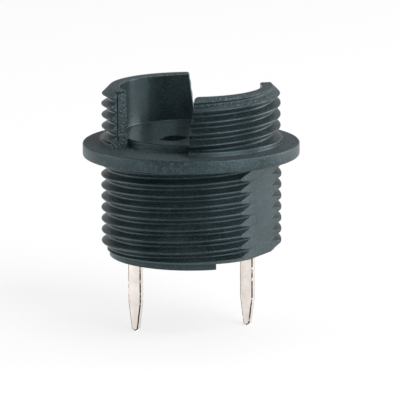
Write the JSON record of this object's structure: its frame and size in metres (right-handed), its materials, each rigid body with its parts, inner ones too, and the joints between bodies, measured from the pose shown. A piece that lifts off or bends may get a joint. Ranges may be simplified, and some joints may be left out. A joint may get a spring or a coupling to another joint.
{
  "type": "panel mount fuse holder",
  "caption": "Round panel fuse holder for a plug-in subminiature fuse: flanged threaded housing with finger slots and two flat solder pins.",
  "frame": {"origin": "centre of the flange's underside, on the thread axis", "axes": "+Z along the axis from the solder pins to the fuse side, +X normal to a flat of the panel thread, +Y through the middle of a finger slot"},
  "size_m": [0.0192, 0.0192, 0.022],
  "materials": {
    "housing": "black glass-filled thermoplastic, fine matte",
    "contact": "bright tinned copper alloy"
  },
  "bodies": {
    "root": {"housing": "housing", "contact_right": "contact", "contact_left": "contact"}
  },
  "joints": []
}
